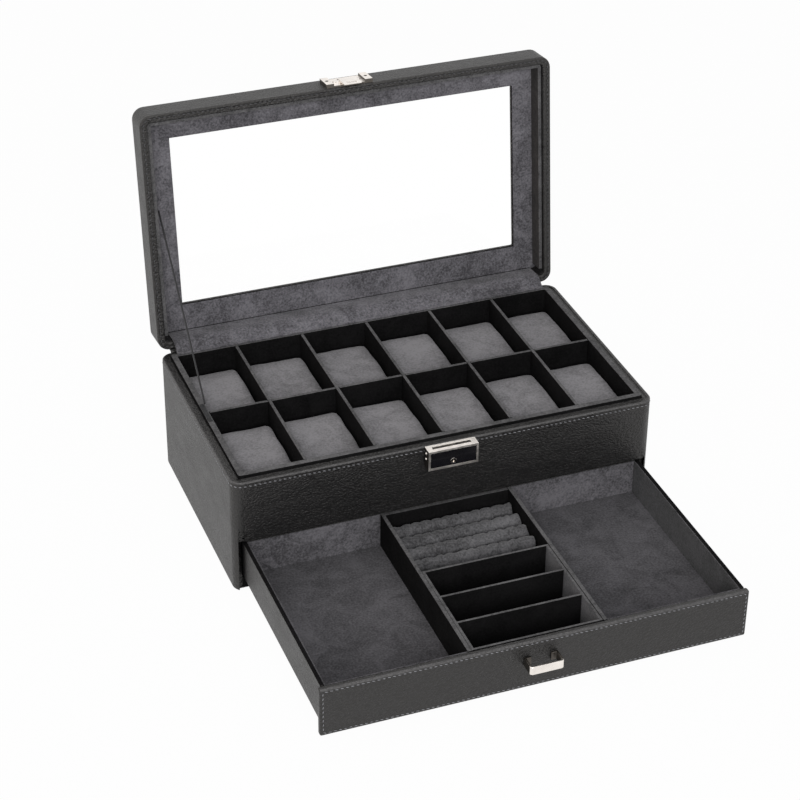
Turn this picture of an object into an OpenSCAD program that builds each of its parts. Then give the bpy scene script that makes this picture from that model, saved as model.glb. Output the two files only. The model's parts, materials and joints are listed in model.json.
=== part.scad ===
// Twelve-slot watch box: a leather-covered case with a glass-topped lid, twelve removable
// pillows and a lined drawer. It is drawn as it stands in use: lid open, drawer pulled out.
// Origin: centre of the underside of the case. X runs along the front, -Y points to the front, +Z up.
// Millimetres and degrees.

/* [Case] */
// Width of the case and the lid
case_w = 330; // [310:1:350]
// Depth of the case and the lid, front to back
case_d = 190; // [182:1:206]
// Height of the case, up to its leather rim
case_h = 95; // [90:1:108]
// Radius of the upright corners
corner_r = 9; // [7:0.5:14]
// Thickness of the leather-covered wall boards
wall_t = 6.5; // [5.5:0.1:7.5]
// Thickness of the bottom board
floor_t = 8.5; // [7:0.1:10]
// Thickness of the felt under the case
felt_t = 0.8; // [0.6:0.1:1.2]

/* [Watch tray] */
// Height of the drawer opening, up to the front rail
opening_h = 44.5; // [42.5:0.1:47]
// Thickness of the shelf that carries the tray
shelf_t = 4.5; // [3:0.1:5]
// Thickness of the suede on the tray floor
suede_t = 0.6; // [0.4:0.1:0.9]
// Thickness of the raised liner boards round the tray
liner_t = 4.8; // [3.5:0.1:6]
// How far the liner stands above the leather rim
lip_h = 2.5; // [1.5:0.1:3]
// Thickness of the dividers
divider_t = 2.6; // [1.6:0.1:3.2]
// Distance from one cross divider to the next
divider_pitch = 53.3; // [52:0.1:54]
// Width of a loose pillow, along the front of the box; a narrow cell squeezes it
pillow_w = 49; // [40:0.5:49.5]
// Length of a pillow, front to back
pillow_l = 76; // [68:1:76]
// Height of a pillow
pillow_h = 38; // [34:1:39]
// How high a pillow lifts to come out
pillow_lift = 55; // [52:1:80]

/* [Lid] */
// Height of the lid
lid_h = 23.5; // [21:0.1:28]
// Angle at which the stay holds the lid open
lid_angle = 96.5; // [90:0.5:100]
// Thickness of the lid's leather-covered walls
lid_wall_t = 6.2; // [5.4:0.1:6.3]
// Gap between the closed lid and the case rim
seam_gap = 0.6; // [0.4:0.1:1]
// Distance of the hinge line behind the back of the case
hinge_out = 1.2; // [1.05:0.05:1.6]
// Thickness of the lid's outer window frame
window_frame_t = 3; // [2.4:0.1:4]
// Width of the window frame along the sides
window_side = 25.4; // [22:0.1:30]
// Width of the window frame along the front
window_front = 25.2; // [22:0.1:30]
// Width of the window frame along the hinge side
window_back = 27.8; // [24:0.1:32]
// Thickness of the glass
glass_t = 2; // [1.5:0.1:2.5]
// Thickness of the suede panel under the glass
panel_t = 1.7; // [1.2:0.1:2.2]
// Thickness of the suede-covered lining boards in the lid
lining_t = 3; // [2:0.1:3.6]
// How far the lining stays back from the edge of the lid
lining_recess = 3.2; // [2.9:0.1:4]

/* [Hinge cover, spine and stay] */
// Thickness of the suede hinge cover
flap_t = 0.9; // [0.6:0.1:1.2]
// Length of the hinge cover along the hinge
flap_w = 306; // [280:1:309]
// Thickness of the leather spine behind the hinge
spine_t = 0.9; // [0.6:0.05:0.95]
// Height of each leaf of the spine
spine_leaf = 17; // [10:1:18]
// Width of the stay strap
stay_w = 3; // [2:0.1:4]
// Thickness of the stay strap
stay_t = 0.8; // [0.6:0.1:1]
// Distance of the stay from the hinge side of the lid
stay_v = 113; // [100:1:125]
// Place of the stay's lower end, from the middle of the case to the back
stay_y = 8; // [0:1:20]
// Depth of the stay's upper end below the edge of the lid
stay_depth = 8.5; // [7:0.5:11]

/* [Lock] */
// Width of the lock housing
lock_w = 39; // [37:0.5:44]
// Height of the lock housing
lock_h = 16.5; // [15.5:0.1:19]
// How far the lock housing stands out of the case
lock_out = 8.5; // [8.5:0.1:10]
// Width of the bright frame round the push plate
lock_frame = 1.7; // [1.4:0.1:2.4]
// Radius of the screws
screw_r = 1.1; // [0.8:0.05:1.2]
// Thickness of the push plate
button_t = 1.6; // [1.2:0.1:2]
// Travel of the push plate
button_travel = 1.8; // [1.2:0.1:1.8]
// Radius of the key cylinder
key_r = 2.4; // [2:0.1:2.6]
// Width of the striker on the lid
striker_w = 14; // [12:0.5:16]
// Thickness of the striker
striker_t = 1.2; // [1:0.1:1.4]
// Width of the hasp plate on the lid
hasp_w = 37; // [35:0.5:40]

/* [Drawer] */
// How far the drawer is pulled out
pull_out = 172; // [120:1:172]
// Height of the drawer front
front_h = 39.5; // [37:0.1:40]
// Gap between the drawer front and the table
front_gap = 1.5; // [1:0.1:3]
// Thickness of the drawer front
front_t = 5; // [4:0.1:8]
// Gap at each end of the drawer front
front_clear = 2; // [1:0.1:2.5]
// Thickness of the side wall left beside the drawer front
rebate_wall = 3.5; // [3:0.1:4.5]
// Gap at each side of the drawer box
side_clear = 1; // [0.8:0.1:2.5]
// Gap behind the closed drawer
back_clear = 4; // [3:0.5:8]
// Thickness of the drawer's side and back boards
drawer_wall_t = 3; // [2.4:0.1:3.6]
// Thickness of the drawer bottom
drawer_floor_t = 2.4; // [2:0.1:3]
// Thickness of the suede lining in the drawer
drawer_suede_t = 0.9; // [0.6:0.1:1.2]

/* [Organiser] */
// Width of the organiser in the middle of the drawer
organiser_w = 104; // [96:1:120]
// Thickness of the organiser's walls
organiser_t = 3; // [2.4:0.1:3.6]
// Length of the ring pad, front to back
ring_l = 73; // [62:1:76]
// Number of rolls on the ring pad
ring_rolls = 5; // [4:1:6]
// How far the ring pad lies below the rim of the drawer
ring_drop = 8; // [6:0.5:12]
// Thickness of the slot insert's boards
insert_t = 2; // [1.4:0.1:2.4]
// Number of slots in the insert
insert_slots = 3; // [2:1:4]

/* [Drawer pull] */
// Width of the pull
pull_w = 25.5; // [22:0.5:34]
// Height of the pull's strip
pull_h = 6.5; // [5:0.1:8]
// How far the pull stands out
pull_reach = 12.5; // [11:0.5:16]
// Height of the pull's middle above the lower edge of the drawer front
pull_up = 24; // [12:0.5:28]
// Thickness of the pull's strip
pull_t = 1.8; // [1.4:0.1:2.4]

/* [Hidden] */

$fn = 48;
eps = 0.01;

leather_tone = [0.13, 0.13, 0.135];
suede_tone = [0.29, 0.28, 0.30];
board_tone = [0.07, 0.07, 0.075];
metal_tone = [0.78, 0.77, 0.74];
glass_tone = [0.85, 0.92, 0.92, 0.35];

columns = 6;
rows = 2;
seat_gap = 0.3;
fit_gap = 0.2;

// Case
half_w = case_w / 2;
half_d = case_d / 2;
inner_x = half_w - wall_t;
inner_y = half_d - wall_t;
floor_top = felt_t + floor_t;
rebate_x = half_w - rebate_wall;
rebate_depth = front_t + seat_gap;
shelf_top = opening_h + shelf_t;
tray_floor = shelf_top + suede_t;
lip_top = case_h + lip_h;

// Tray
liner_x = inner_x - fit_gap;
liner_y = inner_y - fit_gap;
tray_x = liner_x - liner_t;
tray_y = liner_y - liner_t;
divider_top = lip_top - fit_gap;
divider_h = divider_top - tray_floor;
cell_l = tray_y - divider_t / 2;
row_y = (tray_y + divider_t / 2) / 2;
end_cell_x = (tray_x + 2 * divider_pitch + divider_t / 2) / 2;
end_cell_w = tray_x - 2 * divider_pitch - divider_t / 2;
cell_w = divider_pitch - divider_t;
pillow_gap = 0.6;
pillow_z = tray_floor + seat_gap;

// Lid, in its closed place
hinge_y = half_d + hinge_out;
hinge_z = case_h + seam_gap / 2;
lid_z = case_h + seam_gap;
lid_top = lid_z + lid_h;
lid_inner_x = half_w - lid_wall_t;
lid_inner_y = half_d - lid_wall_t;
frame_z = lid_top - window_frame_t;
glass_z = frame_z - glass_t;
panel_z = glass_z - panel_t;
lining_z = lid_z + lining_recess;
lining_h = panel_z - lining_z;
lining_x = lid_inner_x - fit_gap - lining_t;
lining_front_y = -(lid_inner_y - fit_gap - lining_t);
glass_rebate = 6;
panel_edge = 0.4;

// Lock
lock_z = case_h - lock_h + 0.4;
lock_top = lock_z + lock_h;
lock_face_y = -half_d - lock_out;
lock_mid_z = lock_z + lock_h / 2;
button_gap = 0.3;
button_w = lock_w - 2 * lock_frame;
button_h = lock_h - 2 * lock_frame;
button_y = lock_face_y + 0.3;
key_z = lock_z + lock_frame + key_r + 1.1;
slot_y0 = lock_face_y + 3.2;
slot_y1 = slot_y0 + 2.8;
striker_reach = 6.4;
striker_y = slot_y0 + 0.8;
striker_hole_w = 8;
striker_hole_z0 = lid_z - striker_reach + 1.3;
striker_hole_h = 3;
catch_y = slot_y1 + 1.4;
catch_t = 1.5;
catch_w = 26;
catch_z0 = striker_hole_z0 - 3.4;
catch_h = 5.6;
nose_w = 6;
nose_h = 1.8;
nose_z0 = striker_hole_z0 + 0.6;
nose_tip_y = striker_y + 0.2;
post_x = 11;
post_w = 2;
post_h = 4;
pocket_depth = 5.2;
pocket_x = 15;
pocket_back_y = -half_d + pocket_depth;
screw_l = 4.6;
screw_head_r = 1.9;
ear_x = -10;
ear_z = lock_z - 2.2;
ear_r = 2.6;
ear_t = 0.9;
rivet_r = 0.9;
rivet_l = 1.4;
rivet_y = lock_face_y + 5.2;
rivet_z = [lock_top - 4, lock_top - 8.6];
prong_x = (lock_w - lock_frame) / 2;
prong_w = 1.2;
prong_h = 6;
prong_l = 4.6;
spring_r = 1.9;
spring_wire = 0.25;
spring_turns = 4;

// Drawer, at rest pulled out: front_y is the outer face of its front
front_y = -half_d - pull_out;
front_x = rebate_x - front_clear;
front_z = front_gap;
front_top = front_z + front_h;
box_x = inner_x - side_clear;
box_z = floor_top + seat_gap;
box_front_y = front_y + front_t;
box_back_y = inner_y - back_clear - pull_out;
box_floor_top = box_z + drawer_floor_t;
inside_x = box_x - drawer_wall_t;
inside_back_y = box_back_y - drawer_wall_t;
organiser_x = organiser_w / 2;
organiser_back_y = inside_back_y;
organiser_in_x = organiser_x - organiser_t;
organiser_in_back_y = organiser_back_y - organiser_t;
ring_back_y = organiser_in_back_y - seat_gap;
ring_front_y = ring_back_y - ring_l;
ring_w = 2 * (organiser_in_x - 0.6);
ring_top = front_top - ring_drop;
roll_pitch = ring_l / ring_rolls;
insert_x = organiser_in_x - seat_gap;
insert_back_y = ring_front_y - seat_gap;
insert_front_y = box_front_y + seat_gap;
insert_l = insert_back_y - insert_front_y;
insert_z = box_floor_top + seat_gap;
slot_l = (insert_l - (insert_slots + 1) * insert_t) / insert_slots;
pull_z = front_z + pull_up;
pull_y = front_y - pull_reach;

// ---- outlines -----------------------------------------------------------------------------------

// Rectangle with round corners, centred
module round_rect(w, d, r) {
    square([w - 2 * r, d], center = true);
    square([w, d - 2 * r], center = true);
    for (x = [-1, 1], y = [-1, 1])
        translate([x * (w / 2 - r), y * (d / 2 - r)]) circle(r = r);
}

// Outline of the case walls, seen from above
module wall_ring() {
    difference() {
        round_rect(case_w, case_d, corner_r);
        square([2 * inner_x, 2 * inner_y], center = true);
    }
}

// A plain board with its lowest corner at a point
module board(size, at) {
    translate(at) cube(size);
}

// Puts a piece drawn in its closed place where the open lid holds it
module open_lid() {
    translate([0, hinge_y, hinge_z])
        rotate([-lid_angle, 0, 0])
            translate([0, -hinge_y, -hinge_z]) children();
}

// Place in the Y-Z plane of a point of the closed lid once the lid is open
function opened(y, z) = [
    hinge_y + cos(lid_angle) * (y - hinge_y) + sin(lid_angle) * (z - hinge_z),
    hinge_z - sin(lid_angle) * (y - hinge_y) + cos(lid_angle) * (z - hinge_z)
];

// Extrudes an outline given as [y, z] points along X, centred
module along_x(points, length) {
    rotate([90, 0, 90])
        translate([0, 0, -length / 2]) linear_extrude(length) polygon(points);
}

// ---- case ---------------------------------------------------------------------------------------

module base_felt() {
    color(board_tone)
        board([2 * inner_x, inner_y + half_d - rebate_depth, felt_t], [-inner_x, rebate_depth - half_d, 0]);
}

module floor_board() {
    color(leather_tone)
        board([2 * inner_x, inner_y + half_d - rebate_depth, floor_t], [-inner_x, rebate_depth - half_d, felt_t]);
}

module side_wall() {
    color(leather_tone) difference() {
        linear_extrude(case_h) intersection() {
            wall_ring();
            translate([-half_w, -half_d]) square([wall_t, case_d]);
        }
        // Rebate that the drawer front closes into
        translate([-rebate_x, -half_d - eps, -eps])
            cube([wall_t, rebate_depth + eps, opening_h + eps]);
    }
}

module left_wall() {
    side_wall();
}

module right_wall() {
    mirror([1, 0, 0]) side_wall();
}

module back_wall() {
    color(leather_tone) linear_extrude(case_h) intersection() {
        wall_ring();
        translate([-inner_x, inner_y]) square([2 * inner_x, wall_t]);
    }
}

module front_rail() {
    color(leather_tone) difference() {
        translate([0, 0, opening_h]) linear_extrude(case_h - opening_h) intersection() {
            wall_ring();
            translate([-inner_x, -half_d]) square([2 * inner_x, wall_t]);
        }
        // Pocket for the catch and its spring
        translate([-pocket_x, -half_d - eps, catch_z0 - 1])
            cube([2 * pocket_x, pocket_depth + eps, catch_h + 2]);
        // Hole of the screw and slots of the two prongs
        translate([ear_x, -half_d - eps, ear_z]) rotate([-90, 0, 0]) cylinder(r = screw_r, h = screw_l + eps);
        for (x = [-1, 1])
            translate([x * prong_x - prong_w / 2, -half_d - eps, lock_mid_z - prong_h / 2])
                cube([prong_w, prong_l + eps, prong_h]);
    }
}

module tray_shelf() {
    color(leather_tone)
        board([2 * inner_x, 2 * inner_y, shelf_t], [-inner_x, -inner_y, opening_h]);
}

module tray_floor_lining() {
    color(suede_tone)
        board([2 * liner_x, 2 * liner_y, suede_t], [-liner_x, -liner_y, shelf_top]);
}

module tray_liner() {
    color(suede_tone) translate([0, 0, tray_floor]) linear_extrude(lip_top - tray_floor) difference() {
        round_rect(2 * liner_x, 2 * liner_y, 2.5);
        square([2 * tray_x, 2 * tray_y], center = true);
    }
}

// The long divider and the cross dividers are slotted halfway and pushed into each other
module long_divider() {
    slot_w = divider_t + fit_gap;
    color(board_tone) difference() {
        board([2 * (tray_x - fit_gap), divider_t, divider_h], [fit_gap - tray_x, -divider_t / 2, tray_floor]);
        for (i = [-2:2])
            translate([i * divider_pitch - slot_w / 2, -divider_t, tray_floor + divider_h / 2])
                cube([slot_w, 2 * divider_t, divider_h]);
    }
}

module cross_dividers() {
    slot_w = divider_t + fit_gap;
    color(board_tone) for (i = [-2:2]) translate([i * divider_pitch, 0, 0]) difference() {
        board([divider_t, 2 * (tray_y - fit_gap), divider_h], [-divider_t / 2, fit_gap - tray_y, tray_floor]);
        translate([-divider_t, -slot_w / 2, tray_floor - eps])
            cube([2 * divider_t, slot_w, divider_h / 2 + fit_gap]);
    }
}

// ---- lid ----------------------------------------------------------------------------------------

module lid_ring() {
    difference() {
        round_rect(case_w, case_d, corner_r);
        round_rect(2 * lid_inner_x, 2 * lid_inner_y, corner_r - lid_wall_t);
    }
}

// Window opening, as one outline that the frame, the glass and the panel share
module window_outline(margin = 0) {
    x = half_w - window_side + margin;
    y0 = -half_d + window_front - margin;
    y1 = half_d - window_back + margin;
    translate([-x, y0]) square([2 * x, y1 - y0]);
}

module lid_frame() {
    color(leather_tone) open_lid() difference() {
        translate([0, 0, lid_z]) linear_extrude(lid_h - window_frame_t) lid_ring();
        for (x = [-1, 1])
            translate([x * hasp_screw_x, -half_d - eps, hasp_z0 + hasp_h / 2])
                rotate([-90, 0, 0]) cylinder(r = screw_r, h = hasp_screw_l + eps);
    }
}

module lid_top_frame() {
    color(leather_tone) open_lid() translate([0, 0, frame_z]) linear_extrude(window_frame_t) difference() {
        round_rect(case_w, case_d, corner_r);
        window_outline();
    }
}

module lid_glass() {
    color(glass_tone) open_lid() translate([0, 0, glass_z]) linear_extrude(glass_t) window_outline(glass_rebate);
}

// The panel closes the lid's roof from below and holds the glass in its step
module lid_panel() {
    roof = [2 * (lid_inner_x - fit_gap), 2 * (lid_inner_y - fit_gap)];
    color(suede_tone) open_lid() translate([0, 0, panel_z]) difference() {
        linear_extrude(panel_t + glass_t) round_rect(roof[0], roof[1], corner_r - lid_wall_t);
        translate([0, 0, -eps]) linear_extrude(panel_t + 2 * eps) window_outline(-panel_edge);
        translate([0, 0, panel_t]) linear_extrude(glass_t + eps) window_outline(glass_rebate + fit_gap);
    }
}

// Suede-covered lining boards inside the front and the two sides of the lid
module lid_lining() {
    back_y = lid_inner_y - fit_gap;
    color(suede_tone) open_lid() translate([0, 0, lining_z]) linear_extrude(lining_h) {
        difference() {
            round_rect(2 * (lid_inner_x - fit_gap), 2 * back_y, corner_r - lid_wall_t);
            translate([-lining_x, lining_front_y]) square([2 * lining_x, 2 * case_d]);
            translate([-case_w, back_y - 4]) square([2 * case_w, case_d]);
        }
    }
}

// Suede cover that bridges the hinge inside: its foot lies on the back liner, its top in the lid
module hinge_cover() {
    foot_y = liner_y - liner_t * 0.75;
    foot_z = lip_top + seat_gap;
    under_y = lid_inner_y - seat_gap;
    over_y = under_y - flap_t;
    crest = opened(over_y, lid_z - flap_t / 2);
    middle = [(liner_y + crest[0]) / 2, (foot_z + crest[1]) / 2 + 0.3];
    color(suede_tone) along_x([
        [foot_y, foot_z],
        [liner_y, foot_z],
        middle,
        opened(under_y, lid_z - flap_t / 2),
        opened(under_y, panel_z - seat_gap),
        opened(over_y, panel_z - seat_gap),
        crest,
        middle + [-flap_t / 2, flap_t],
        [liner_y - flap_t / 2, foot_z + flap_t],
        [foot_y, foot_z + flap_t]
    ], flap_w);
}

// Leather strip glued over the back of the case and the lid: it is the hinge
module leather_spine() {
    inner = half_d + 0.1;
    outer = inner + spine_t;
    color(leather_tone) along_x([
        [inner, case_h - spine_leaf],
        [outer, case_h - spine_leaf],
        [outer, case_h],
        opened(outer, lid_z + 0.4),
        opened(outer, lid_z + spine_leaf),
        opened(inner, lid_z + spine_leaf),
        opened(inner, lid_z + 0.2),
        [inner, case_h + 0.1]
    ], case_w - 2 * corner_r);
}

// ---- stay ---------------------------------------------------------------------------------------

stay_foot_x = -(tray_x + liner_t * 0.6);
stay_end = 1.2;
tab_t = 0.6;
tab_top = lip_top + tab_t;
stay_foot = [stay_y, tab_top + seat_gap];
stay_top = opened(half_d - stay_v, lid_z + stay_depth);
stay_run = stay_top - stay_foot;
stay_len = norm(stay_run);
stay_tilt = atan2(stay_run[1], stay_run[0]);
stay_x = -(lining_x - 1.5);

module stay_strap() {
    color(board_tone) translate([stay_x, stay_foot[0], stay_foot[1]]) rotate([stay_tilt, 0, 0])
        translate([-stay_t / 2, stay_end, -stay_w / 2]) cube([stay_t, stay_len - 2 * stay_end, stay_w]);
}

// Tab on the left liner that holds the strap's lower end, with two tacks
module stay_tab_case() {
    tab_l = 24;
    color(board_tone) translate([stay_foot_x, stay_y - tab_l / 2 + 3, lip_top]) {
        translate([-1.5, -tab_l / 2, 0]) cube([3.2, tab_l, tab_t]);
        for (y = [-1, 1])
            translate([0, y * (tab_l / 2 - 3), tab_t - eps]) cylinder(r = 1, h = 0.4);
    }
}

// Tab on the lid's left lining that holds the strap's upper end
module stay_tab_lid() {
    side = 10;
    color(board_tone) open_lid()
        translate([-lining_x, half_d - stay_v, lid_z + stay_depth]) rotate([0, 90, 0])
            linear_extrude(0.8) polygon([[-side * 0.45, -side / 2], [side * 0.35, 0], [-side * 0.45, side / 2]]);
}

// ---- hasp and lock ------------------------------------------------------------------------------

hasp_t = 1.4;
hasp_screw_l = 4;
hasp_z0 = lid_z + 1.2;
hasp_h = lid_h - window_frame_t - 4;
cheek_w = 6;
cheek_t = 3.2;
hasp_screw_x = hasp_w / 2 - cheek_w - 3;

module hasp_plate() {
    color(metal_tone) open_lid() translate([0, -half_d, hasp_z0]) difference() {
        union() {
            translate([-hasp_w / 2, -hasp_t, 0]) cube([hasp_w, hasp_t, hasp_h]);
            // Raised end cheeks, and the cross bar that the striker is folded over
            for (x = [-1, 1])
                translate([x * (hasp_w - cheek_w) / 2 - cheek_w / 2, -cheek_t, 0])
                    cube([cheek_w, cheek_t - hasp_t + eps, hasp_h]);
        }
        for (x = [-1, 1]) {
            translate([x * hasp_screw_x, -hasp_t - eps, hasp_h / 2])
                rotate([-90, 0, 0]) cylinder(r = screw_r + fit_gap, h = hasp_t + 2 * eps);
            translate([x * (hasp_w - cheek_w) / 2, -cheek_t - eps, hasp_h / 2])
                rotate([-90, 0, 0]) cylinder(r = 1.3, h = 1.2);
        }
        // Long slot seen between the cheeks
        translate([-6, -hasp_t - eps, hasp_h - 4.4]) cube([12, hasp_t + 2 * eps, 1.6]);
    }
}

// The striker hangs below the edge of the lid and drops into the slot of the lock
module hasp_striker() {
    leaf_top = hasp_z0 + 6;
    color(metal_tone) open_lid() difference() {
        union() {
            translate([-striker_w / 2, striker_y, lid_z - striker_reach])
                cube([striker_w, striker_t, leaf_top - lid_z + striker_reach]);
            translate([-striker_w / 2, striker_y, leaf_top - 3])
                cube([striker_w, -half_d - hasp_t - striker_y, 3]);
        }
        translate([-striker_hole_w / 2, striker_y - eps, striker_hole_z0])
            cube([striker_hole_w, striker_t + 2 * eps, striker_hole_h]);
    }
}

module dome_screw(head_r, length) {
    // Shank along +Y from the seat at y = 0, round head towards -Y
    head_h = 0.9;
    rotate([-90, 0, 0]) cylinder(r = screw_r, h = length);
    rotate([90, 0, 0]) difference() {
        cylinder(r1 = head_r, r2 = head_r * 0.7, h = head_h);
        translate([-head_r, -0.25, head_h / 2]) cube([2 * head_r, 0.5, head_h]);
    }
}

module hasp_screws() {
    color(metal_tone) open_lid() for (x = [-1, 1])
        translate([x * hasp_screw_x, -half_d - hasp_t, hasp_z0 + hasp_h / 2])
            dome_screw(screw_head_r, hasp_t + hasp_screw_l);
}

// Shell open at the back, with the push plate in its window
module lock_housing() {
    color(metal_tone) {
        difference() {
            translate([-lock_w / 2, lock_face_y, lock_z]) cube([lock_w, lock_out, lock_h]);
            translate([-button_w / 2, lock_face_y - eps, lock_z + lock_frame])
                cube([button_w, lock_out + 2 * eps, button_h]);
            // Slot for the striker, through the top
            translate([-pocket_x, slot_y0, lock_mid_z])
                cube([2 * pocket_x, slot_y1 - slot_y0, lock_h]);
            // Holes of the rivets in the two ends
            for (x = [-1, 1], z = rivet_z)
                translate([x * (lock_w / 2 - rivet_l), rivet_y, z])
                    rotate([0, x * 90, 0]) cylinder(r = rivet_r, h = rivet_l + eps);
        }
        // Ear below the housing, for the screw
        difference() {
            translate([ear_x - ear_r, -half_d - ear_t, ear_z]) cube([2 * ear_r, ear_t, lock_z - ear_z]);
            translate([ear_x, -half_d - ear_t - eps, ear_z]) rotate([-90, 0, 0])
                cylinder(r = screw_r + fit_gap, h = ear_t + 2 * eps);
        }
        difference() {
            translate([ear_x, -half_d, ear_z]) rotate([90, 0, 0]) cylinder(r = ear_r, h = ear_t);
            translate([ear_x, -half_d + eps, ear_z]) rotate([90, 0, 0])
                cylinder(r = screw_r + fit_gap, h = ear_t + 2 * eps);
            translate([ear_x - ear_r, -half_d - 2 * ear_t, ear_z]) cube([2 * ear_r, 3 * ear_t, ear_r]);
        }
        // Prongs on the back, pressed into the front rail
        for (x = [-1, 1])
            translate([x * prong_x - prong_w / 2, -half_d - eps, lock_mid_z - prong_h / 2])
                cube([prong_w, prong_l, prong_h]);
    }
}

// Two rivets in each end of the housing
module lock_rivets() {
    color(metal_tone) for (x = [-1, 1], z = rivet_z)
        translate([x * lock_w / 2, rivet_y, z]) rotate([0, x * 90, 0]) {
            translate([0, 0, -rivet_l]) cylinder(r = rivet_r, h = rivet_l);
            cylinder(r1 = rivet_r * 1.5, r2 = rivet_r, h = 0.7);
        }
}

module lock_screw() {
    color(metal_tone) translate([ear_x, -half_d - ear_t, ear_z]) dome_screw(screw_head_r, ear_t + screw_l);
}

module lock_button() {
    w = button_w - 2 * button_gap;
    h = button_h - 2 * button_gap;
    color([0.03, 0.03, 0.035]) difference() {
        union() {
            translate([-w / 2, button_y, lock_mid_z - h / 2]) cube([w, button_t, h]);
            for (x = [-1, 1])
                translate([x * post_x - post_w / 2, button_y + button_t - eps, catch_z0])
                    cube([post_w, catch_y - button_y - button_t, post_h]);
        }
        translate([0, button_y - eps, key_z]) rotate([-90, 0, 0])
            cylinder(r = key_r + 0.05, h = button_t + 2 * eps);
    }
}

module lock_catch() {
    color(metal_tone) {
        translate([-catch_w / 2, catch_y, catch_z0]) cube([catch_w, catch_t, catch_h]);
        // Nose with a sloped top, so that the striker can push it back
        along_x([
            [nose_tip_y, nose_z0],
            [catch_y + eps, nose_z0],
            [catch_y + eps, nose_z0 + nose_h],
            [slot_y1, nose_z0 + nose_h],
            [nose_tip_y, nose_z0 + nose_h * 0.4]
        ], nose_w);
    }
}

module lock_spring() {
    spring_y0 = catch_y + catch_t + spring_wire + 0.05;
    spring_len = pocket_back_y - spring_wire - 0.05 - spring_y0;
    sides = 6;
    steps = 12 * spring_turns;
    points = [for (i = [0:steps], k = [0:sides - 1])
        let (a = 360 * i / 12, b = 360 * k / sides, r = spring_r + spring_wire * cos(b))
            [r * cos(a), spring_y0 + spring_len * i / steps + spring_wire * sin(b), r * sin(a)]];
    faces = concat(
        [[for (k = [0:sides - 1]) k]],
        [for (i = [0:steps - 1], k = [0:sides - 1])
            [i * sides + k, (i + 1) * sides + k, (i + 1) * sides + (k + 1) % sides, i * sides + (k + 1) % sides]],
        [[for (k = [sides - 1:-1:0]) steps * sides + k]]);
    color(metal_tone) translate([0, 0, catch_z0 + catch_h / 2]) polyhedron(points, faces);
}

module key_cylinder() {
    color(metal_tone) translate([0, button_y - 0.2, key_z]) rotate([-90, 0, 0]) difference() {
        cylinder(r = key_r, h = button_t + 1.4);
        translate([-0.35, -key_r * 0.6, -eps]) cube([0.7, key_r * 1.2, 1]);
    }
}

// ---- drawer -------------------------------------------------------------------------------------

module drawer_front() {
    edge = 1.5;
    color(leather_tone) difference() {
        translate([0, front_y + front_t, front_z + front_h / 2]) rotate([90, 0, 0])
            linear_extrude(front_t) round_rect(2 * front_x, front_h, edge);
        for (x = [-1, 1])
            translate([x * pull_screw_x, front_y - eps, pull_z]) rotate([-90, 0, 0])
                cylinder(r = screw_r, h = front_t + 2 * eps);
    }
}

module drawer_side() {
    color(leather_tone)
        board([drawer_wall_t, box_back_y - box_front_y, front_top - box_z], [-box_x, box_front_y, box_z]);
}

module drawer_left_side() {
    drawer_side();
}

module drawer_right_side() {
    mirror([1, 0, 0]) drawer_side();
}

module drawer_back() {
    color(leather_tone)
        board([2 * inside_x, drawer_wall_t, front_top - box_z], [-inside_x, inside_back_y, box_z]);
}

module drawer_bottom() {
    color(leather_tone)
        board([2 * inside_x, inside_back_y - box_front_y, drawer_floor_t], [-inside_x, box_front_y, box_z]);
}

// Suede lining of one side tray: a floor with three turned-up walls
module tray_suede() {
    w = inside_x - organiser_x;
    l = inside_back_y - box_front_y;
    h = front_top - box_floor_top - 0.4;
    color(suede_tone) translate([-inside_x, box_front_y, box_floor_top]) difference() {
        cube([w, l, h]);
        translate([drawer_suede_t, drawer_suede_t, drawer_suede_t])
            cube([w, l - 2 * drawer_suede_t, h]);
    }
}

module drawer_suede_left() {
    tray_suede();
}

module drawer_suede_right() {
    mirror([1, 0, 0]) tray_suede();
}

module organiser_wall() {
    color(board_tone)
        board([organiser_t, organiser_back_y - box_front_y, front_top - box_floor_top],
            [-organiser_x, box_front_y, box_floor_top]);
}

module organiser_left_wall() {
    organiser_wall();
}

module organiser_right_wall() {
    mirror([1, 0, 0]) organiser_wall();
}

module organiser_back_wall() {
    color(board_tone)
        board([2 * organiser_in_x, organiser_t, front_top - box_floor_top - 0.4],
            [-organiser_in_x, organiser_in_back_y, box_floor_top]);
}

// Row of soft rolls that grip rings, on one base
module ring_pad() {
    r = roll_pitch / 2;
    base_h = ring_top - r - box_floor_top - seat_gap;
    color(suede_tone) rotate([90, 0, 90]) translate([0, 0, -ring_w / 2]) linear_extrude(ring_w) {
        translate([ring_front_y, box_floor_top + seat_gap]) square([ring_l, base_h]);
        for (i = [0:ring_rolls - 1])
            translate([ring_front_y + (i + 0.5) * roll_pitch, ring_top - r]) circle(r = r, $fn = 24);
    }
}

// Open box with cross boards, which stands between the organiser walls
module slot_insert() {
    color(board_tone) translate([-insert_x, insert_front_y, insert_z]) difference() {
        cube([2 * insert_x, insert_l, front_top - insert_z]);
        for (i = [0:insert_slots - 1])
            translate([insert_t, insert_t + i * (slot_l + insert_t), insert_t])
                cube([2 * (insert_x - insert_t), slot_l, front_top]);
    }
}

pull_screw_x = pull_w / 2 - 3.2;

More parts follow.
